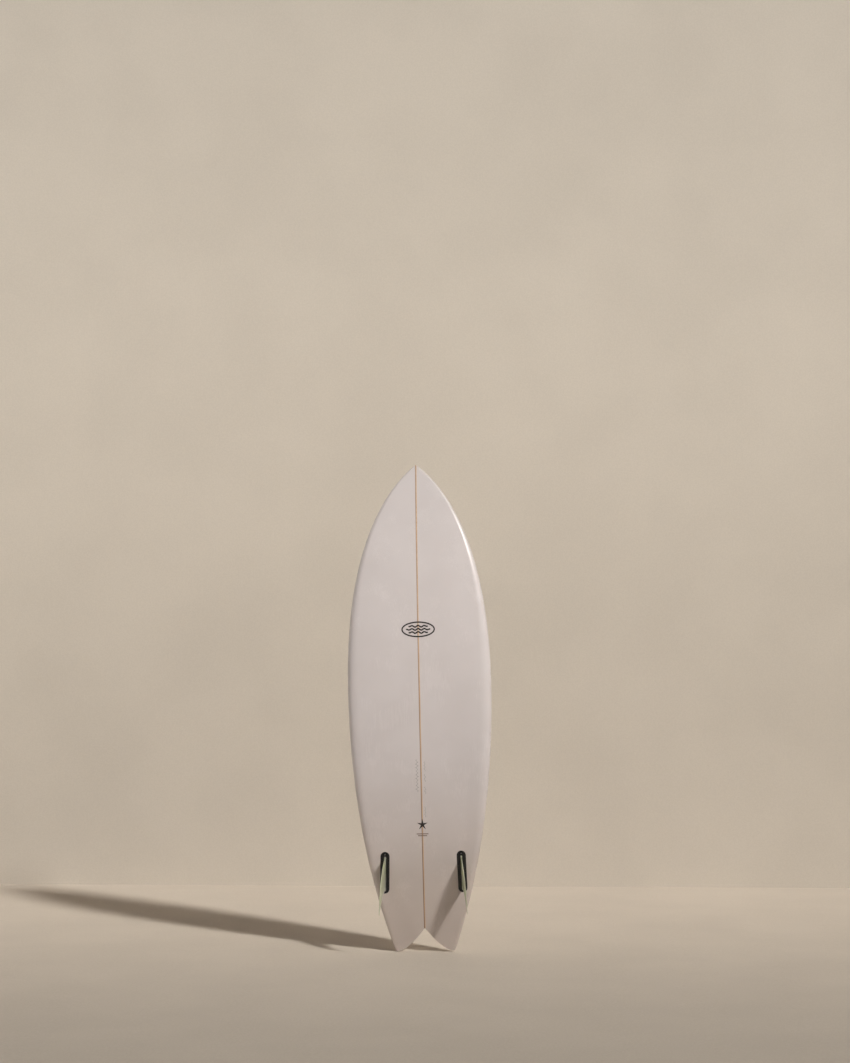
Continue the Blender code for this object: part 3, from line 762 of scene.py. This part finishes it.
def lean_openings(mesh, side, radius, stretch):
    """Leans the walls of the slot and of the screw hole with their depth."""
    outward = side * math.tan(CANT)
    half, front, rear = 0.5 * TAB_WIDTH + SLOT_MARGIN, TAB_FRONT + SLOT_MARGIN, TAB_REAR - SLOT_MARGIN
    for vert in mesh.vertices:
        x, y, z = vert.co
        if abs(x) < half and rear < y < front:
            vert.co.x += outward * z
        elif abs(x) < radius + HOLE_MARGIN and abs(y - SCREW_ENTRY) < radius * stretch + HOLE_MARGIN:
            vert.co.x += outward * z
            vert.co.y += 0.5 * math.tan(SCREW_LEAN) * z


def box_mesh(side):
    """Fin box: a rounded block with its leaning slot and screw hole, closed by a floor."""
    outer = obround(0.5 * BOX_WIDTH, 0.5 * BOX_LENGTH, -0.5 * BOX_LENGTH)
    slot = obround(0.5 * TAB_WIDTH + SLOT_GAP, TAB_FRONT + SLOT_GAP, TAB_REAR - SLOT_GAP, 12)
    radius = SCREW_RADIUS + SLOT_GAP
    stretch = 1.0 / math.cos(SCREW_LEAN)
    turns = [2 * math.pi * i / HOLE_STEPS for i in range(HOLE_STEPS)]
    hole = [(radius * math.cos(a), SCREW_ENTRY + radius * stretch * math.sin(a)) for a in turns]
    floor = -TAB_DEPTH - SLOT_FLOOR_GAP
    block = outline_mesh("fin_box", [outer, slot, hole], floor, 0.0, BOX_ROUNDING)
    lean_openings(block, side, radius, stretch)
    base = outline_mesh("floor", [outer], -BOX_DEPTH, floor, FLOOR_ROUNDING)
    return together("fin_box", block, base)


def screw_mesh():
    """Grub screw with thread ridges and a hexagonal socket."""
    profile = [(0.0, -SCREW_TOP), (SCREW_RADIUS - SCREW_CHAMFER, -SCREW_TOP)]
    turns = int((SCREW_TIP - SCREW_TOP) / THREAD_PITCH)
    for i in range(turns):
        z = -SCREW_TOP - THREAD_START - i * THREAD_PITCH
        profile.append((SCREW_RADIUS, z))
        profile.append((SCREW_RADIUS - THREAD_DEPTH, z - 0.5 * THREAD_PITCH))
    profile += [(SCREW_RADIUS - SCREW_POINT, -SCREW_TIP), (0.0, -SCREW_TIP)]
    body = turned("screw", profile, SCREW_STEPS)
    corners = [math.pi * i / 3 for i in range(6)]
    hexagon = [(SOCKET_RADIUS * math.cos(a), SOCKET_RADIUS * math.sin(a)) for a in corners]
    return carved(body, [outline_mesh("socket", [hexagon], -SCREW_TOP - SOCKET_DEPTH, OVERSHOOT)])


def add_fins():
    glass = fin_glass()
    plastic = moulded_black("fin_box_plastic", 0.32, 0.55, 0.15)
    steel = brushed_steel("screw_steel", 2600.0, 2600.0, 300.0)
    for word, side in (("left", -1), ("right", 1)):
        add_piece("fin_blade_" + word, fin_mesh(), [glass], word + "_fin", "fin_glass", "fin_" + word,
                  place=fin_axis(side))
        add_piece("slot_box_" + word, box_mesh(side), [plastic], "board", "box_black", "fin_box_" + word,
                  place=box_seat(side))
        add_piece("grub_screw_" + word, screw_mesh(), [steel], word + "_screw", "screw_steel",
                  "fin_screw_" + word, place=screw_axis(side), smooth=25.0)


# ---------------------------------------------------------------- leash plug
def cup_profile():
    """Outside of the cup from its foot to its lip, then the bowl down to its floor."""
    profile = [(0.0, -PLUG_DEPTH), (PLUG_RADIUS - CUP_FOOT, -PLUG_DEPTH)]
    profile.append((PLUG_RADIUS, -PLUG_DEPTH + CUP_FOOT))
    profile += [(PLUG_RADIUS - inward, -down) for inward, down in LIP_OUTSIDE]
    profile += [(PLUG_MOUTH + outward, -down) for outward, down in LIP_INSIDE]
    for i in range(BOWL_STEPS + 1):
        turn = 0.5 * math.pi * i / BOWL_STEPS
        drop = PLUG_HOLLOW - 0.5 * PLUG_FLOOR + 0.5 * PLUG_FLOOR * math.sin(turn)
        profile.append((PLUG_FLOOR * math.cos(turn) if i < BOWL_STEPS else 0.0, -drop))
    return profile


def pin_profile():
    neck, end = PIN_RADIUS - PIN_CHAMFER, PIN_HALF_LENGTH
    return [(0.0, -end), (neck, -end), (PIN_RADIUS, PIN_CHAMFER - end),
            (PIN_RADIUS, end - PIN_CHAMFER), (neck, end), (0.0, end)]


def add_plug():
    place = plug_seat()
    plastic = moulded_black("plug_plastic", 0.28, 0.5, 0.25)
    add_piece("leash_cup", turned("leash_cup", cup_profile()), [plastic], "board", "plug_black",
              "leash_plug", place=place)
    turn = Matrix.Translation((0.0, 0.0, -PIN_DEPTH)) @ Matrix.Rotation(0.5 * math.pi, 4, "Y")
    steel = brushed_steel("bar_steel", 300.0, 2600.0, 2600.0)
    add_piece("leash_bar", turned("leash_bar", pin_profile()), [steel], "board", "pin_steel",
              "leash_pin", place=place @ turn)


# ---------------------------------------------------------------- marks on the bottom
def ribbon(points, width, closed=False):
    """Flat line along (x, z) points, laid on the bottom, as vertices and faces."""
    corners, faces = [], []
    count = len(points)
    for i, (x, z) in enumerate(points):
        before = points[i - 1] if closed or i > 0 else points[i]
        after = points[(i + 1) % count] if closed or i + 1 < count else points[i]
        way = Vector((after[0] - before[0], after[1] - before[1])).normalized()
        for side in (-0.5, 0.5):
            px, pz = x - way.y * side * width, z + way.x * side * width
            corners.append((px, bottom_y(pz) - PRINT_LIFT, pz))
    for i in range(count if closed else count - 1):
        a, b = 2 * i, 2 * ((i + 1) % count)
        faces.append((a, a + 1, b + 1, b))
    return corners, faces


def face_rank(face, count):
    """Orders faces by their three lowest vertices, as an extrusion leaves no fixed order."""
    first, second, third = sorted(vert.index for vert in face.verts)[:3]
    return (first * count + second) * count + third


def print_mesh(name, ribbons):
    """Thin closed slabs of ink, from just under the surface to just above it."""
    corners, faces = [], []
    for more_corners, more_faces in ribbons:
        start = len(corners)
        corners += more_corners
        faces += [tuple(start + i for i in face) for face in more_faces]
    sheet = bpy.data.meshes.new(name)
    sheet.from_pydata(corners, [], faces)

    def build(work):
        work.from_mesh(sheet)
        slab = bmesh.ops.extrude_face_region(work, geom=work.faces[:], use_keep_orig=True)["geom"]
        under = [item for item in slab if isinstance(item, bmesh.types.BMVert)]
        bmesh.ops.translate(work, vec=(0.0, PRINT_SINK + PRINT_LIFT, 0.0), verts=under)
        work.verts.index_update()
        work.faces.sort(key=lambda face: face_rank(face, len(work.verts)))
    return mesh_from(name, build)


def oval(half_x, half_z, middle, steps=72):
    turns = [2 * math.pi * i / steps for i in range(steps)]
    return [(half_x * math.cos(a), middle + half_z * math.sin(a)) for a in turns]


def swell(reach, middle, rise, length, steps=48):
    """One wave line across the stringer, flattening out towards its ends."""
    points = []
    for i in range(steps + 1):
        share = 2.0 * i / steps - 1.0
        x = share * reach
        points.append((x, middle + rise * (1.0 - share ** 4) * math.cos(2 * math.pi * x / length)))
    return points


def scribble(x, low, high, reach, loops, steps=16):
    """Pencil line that winds along the stringer."""
    points = []
    for i in range(loops * steps + 1):
        turn = 2 * math.pi * i / steps
        size = reach * (0.65 + 0.35 * math.sin(1.7 * turn))
        climb = (high - low) * i / (loops * steps)
        points.append((x + size * math.sin(turn), low + climb + 0.35 * size * math.sin(2 * turn)))
    return points


def star(half_x, half_z, middle, waist, points):
    """Solid pointed mark, as one fan of faces on the bottom."""
    rim = []
    for i in range(2 * points):
        turn = 0.5 * math.pi + math.pi * i / points
        share = 1.0 if i % 2 == 0 else waist
        rim.append((share * half_x * math.cos(turn), middle + share * half_z * math.sin(turn)))
    flat = [(x, bottom_y(z) - PRINT_LIFT, z) for x, z in [(0.0, middle), *rim]]
    count = len(rim)
    return flat, [(0, 1 + i, 1 + (i + 1) % count) for i in range(count)]


def add_marks():
    """Generic marks: an oval with swells, a small star over two bars, and pencil scribbles."""
    black = ink("badge_ink", colour(0.012, 0.008, 0.007), colour(0.05, 0.04, 0.035), 0.4)
    brown = ink("fine_ink", colour(0.170, 0.110, 0.085), colour(0.36, 0.28, 0.24), 0.5)
    pencil = ink("pencil_lead", colour(0.270, 0.250, 0.240), colour(0.46, 0.42, 0.40), 0.8)
    badge = [ribbon(oval(*BADGE_HALF, BADGE_HEIGHT), BADGE_LINE, True)]
    for row, reach in enumerate(SWELL_REACHES):
        middle = BADGE_HEIGHT + (row - 1) * SWELL_GAP
        badge.append(ribbon(swell(reach, middle, SWELL_RISE, SWELL_LENGTH), SWELL_LINE))
    emblem = [star(*STAR_HALF, STAR_HEIGHT, STAR_WAIST, STAR_POINTS)]
    bars = [ribbon([(-reach, STAR_HEIGHT - drop), (reach, STAR_HEIGHT - drop)], BAR_LINE)
            for drop, reach in zip(BAR_DROPS, BAR_REACHES)]
    strokes = [ribbon(scribble(x, low * LENGTH, high * LENGTH, reach, loops), width)
               for x, low, high, reach, loops, width in SCRIBBLES]
    for name, lines, lead in (("badge_print", badge, black), ("tail_print", emblem, black),
                              ("tail_bars", bars, brown), ("pencil_marks", strokes, pencil)):
        add_piece(name, print_mesh(name, lines), [lead], "board", "clear_glass")


# ---------------------------------------------------------------- stage, light and camera
def stage_shader(name, tone, along, *span):
    """Plain matt paint with painted light that makes it lighter along one axis."""
    made = Shader(name)
    # Painted light: the tone grows lighter along the axis.
    near = made.span(made.axis(along), *span)
    painted_light_grey = made.add("ShaderNodeCombineColor", Red=near, Green=near, Blue=near).outputs[0]
    base = made.blend(1.0, colour(*tone), painted_light_grey, "MULTIPLY")
    black = colour(0.0, 0.0, 0.0)
    base = made.blend(made.span(made.noise(2.2, 4.0), 0.3, 0.7, 0.0, 0.05), base, black)
    fine = made.noise(160.0, 3.0)
    base = made.blend(made.span(fine, 0.3, 0.7, 0.0, 0.04), base, black)
    made.surface(Base_Color=base, Roughness=made.span(fine, 0.3, 0.7, 0.7, 0.9),
                 Normal=made.bump(fine, 0.10, 0.001))
    return made


def mix_surface(made, share, second):
    """Ends the material in a mix of its own surface and a second shader."""
    mixed = made.add("ShaderNodeMixShader")
    for socket, source in zip(mixed.inputs, (share, made.principled.outputs[0], second.outputs[0])):
        made.feed(socket, source)
    made.feed(made.tree.nodes["Material Output"].inputs["Surface"], mixed.outputs[0])


def wall_material():
    """Paint that is clear from behind, so that the board can be seen from there."""
    made = stage_shader("wall", WALL_TONE, "Z", *WALL_PAINTED_LIGHT)
    behind = made.add("ShaderNodeNewGeometry").outputs["Backfacing"]
    mix_surface(made, behind, made.add("ShaderNodeBsdfTransparent"))
    return made.material


def far_floor_material():
    """The floor's paint, which fades with distance into a painted glow of the pale air's colour."""
    made = stage_shader("far_floor", FLOOR_TONE, "Y", *FLOOR_PAINTED_LIGHT)
    # Painted glow: with distance the floor gives way to an emitter in the air's colour.
    away = made.calc("SQRT", made.calc("ADD", made.calc("POWER", made.axis("X"), 2.0),
                                       made.calc("POWER", made.axis("Y"), 2.0)))
    mix_surface(made, made.span(away, *PAINTED_GLOW_SPAN), made.add("ShaderNodeEmission", Color=AIR_SEEN))
    return made.material


def stage_plane(name, corners, material):
    mesh = bpy.data.meshes.new(name)
    mesh.from_pydata(corners, [], [(0, 1, 2, 3)])
    mesh.materials.append(material)
    plane = bpy.data.objects.new(name, mesh)
    bpy.context.scene.collection.objects.link(plane)
    plane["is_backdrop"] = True
    return plane


def add_stage():
    """Floor and wall, tilted by the board's slight lean so that they stand level in the picture."""
    lean = math.tan(-CAMERA_ROLL)
    touch = -NOTCH_ARM[3][0]

    def ground(x, y):
        return Vector((x, y, -lean * (x - touch)))

    def floor_plane(name, left, right, front, back, material):
        corners = ((left, front), (right, front), (right, back), (left, back))
        return stage_plane(name, [ground(*corner) for corner in corners], material)

    front, side, end = FLOOR_FRONT, FLOOR_SIDE, FLOOR_END
    near = stage_shader("floor", FLOOR_TONE, "Y", *FLOOR_PAINTED_LIGHT).material
    planes = [floor_plane("floor", -side, side, front, side, near)]
    far = far_floor_material()
    for name, *sides in (("floor_front", -end, end, -end, front), ("floor_back", -end, end, side, end),
                         ("floor_left", -end, -side, front, side), ("floor_right", side, end, front, side)):
        outer = floor_plane(name, *sides, far)
        outer.visible_diffuse = False
        outer.visible_glossy = False
        planes.append(outer)
    up = Vector((lean, 0.0, 1.0)) * WALL_HEIGHT
    left, right = ground(-WALL_SIDE, WALL_DISTANCE), ground(WALL_SIDE, WALL_DISTANCE)
    planes.append(stage_plane("wall", [left, right, right + up, left + up], wall_material()))
    return planes


def add_lamp(name, kind, place, aim, energy, lit, **settings):
    """A lamp aimed at a height on the board; it lights only the objects in lit."""
    data = bpy.data.lights.new(name, kind)
    data.energy = energy
    data.color = LAMP_TINT
    for key, value in settings.items():
        setattr(data, key, value)
    lamp = bpy.data.objects.new(name, data)
    bpy.context.scene.collection.objects.link(lamp)
    lamp.location = place
    way = Vector((0.0, 0.0, aim)) - Vector(place)
    lamp.rotation_euler = way.to_track_quat("-Z", "Y").to_euler()
    lamp.visible_camera = False
    receivers = bpy.data.collections.new("lit_by_" + name)
    for item in lit:
        receivers.objects.link(item)
    lamp.light_linking.receiver_collection = receivers
    return lamp


def add_light(planes):
    """Key from the upper right, weaker on the board than on the stage, and soft fills for the board."""
    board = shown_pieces()
    flat = math.cos(KEY_HEIGHT)
    way = Vector((flat * math.cos(KEY_TURN), -flat * math.sin(KEY_TURN), math.sin(KEY_HEIGHT)))
    place = Vector((0.0, 0.0, MIDDLE)) + KEY_DISTANCE * way
    add_lamp("key", "AREA", place, MIDDLE, KEY_POWER, board, shape="DISK", size=KEY_SIZE)
    add_lamp("stage_key", "SUN", place, MIDDLE, STAGE_KEY_STRENGTH, planes, angle=STAGE_KEY_ANGLE)
    for *lamp, shape in FILLS:
        add_lamp(*lamp, board, **shape).visible_glossy = False
    # The light tree counts a linked lamp too often, so each lamp is sampled on its own.
    bpy.context.scene.cycles.use_light_tree = False


def add_air():
    """Weak pale air, and a pale background where a view passes the wall."""
    world = bpy.data.worlds.new("pale_air")
    bpy.context.scene.world = world
    world.use_nodes = True
    nodes, links = world.node_tree.nodes, world.node_tree.links
    air = nodes["Background"]
    air.inputs["Color"].default_value = AIR_TONE
    air.inputs["Strength"].default_value = AIR_STRENGTH
    seen = nodes.new("ShaderNodeBackground")
    seen.inputs["Color"].default_value = AIR_SEEN
    path = nodes.new("ShaderNodeLightPath")
    mixed = nodes.new("ShaderNodeMixShader")
    links.new(path.outputs["Is Camera Ray"], mixed.inputs[0])
    links.new(air.outputs[0], mixed.inputs[1])
    links.new(seen.outputs[0], mixed.inputs[2])
    links.new(mixed.outputs[0], nodes["World Output"].inputs["Surface"])
    bpy.context.scene.view_settings.view_transform = "Standard"


def add_camera():
    data = bpy.data.cameras.new("camera")
    data.lens = CAMERA_LENS
    data.sensor_width = 36.0
    data.clip_start, data.clip_end = 0.1, 200.0
    camera = bpy.data.objects.new("camera", data)
    bpy.context.scene.collection.objects.link(camera)
    right = Vector((math.cos(CAMERA_AZIMUTH), math.sin(CAMERA_AZIMUTH), 0.0))
    back = Vector((math.sin(CAMERA_AZIMUTH), -math.cos(CAMERA_AZIMUTH), 0.0))
    up = Vector((0.0, 0.0, 1.0))
    turn = Matrix((right, up, back)).transposed() @ Matrix.Rotation(CAMERA_ROLL, 3, "Z")
    place = back * CAMERA_DISTANCE + right * CAMERA_SHIFT + up * CAMERA_HEIGHT
    camera.matrix_world = Matrix.Translation(place) @ turn.to_4x4()
    bpy.context.scene.camera = camera


def finish_cores():
    """Better materials for the CAD solids inside the glass."""
    foam, wood = raw_foam(), raw_wood()
    for node, material in (("foam_core_left", foam), ("foam_core_right", foam), ("stringer", wood)):
        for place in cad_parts[node].material_slots:
            place.material = material


add_board()
add_fins()
add_plug()
add_marks()
finish_cores()
add_light(add_stage())
add_air()
add_camera()
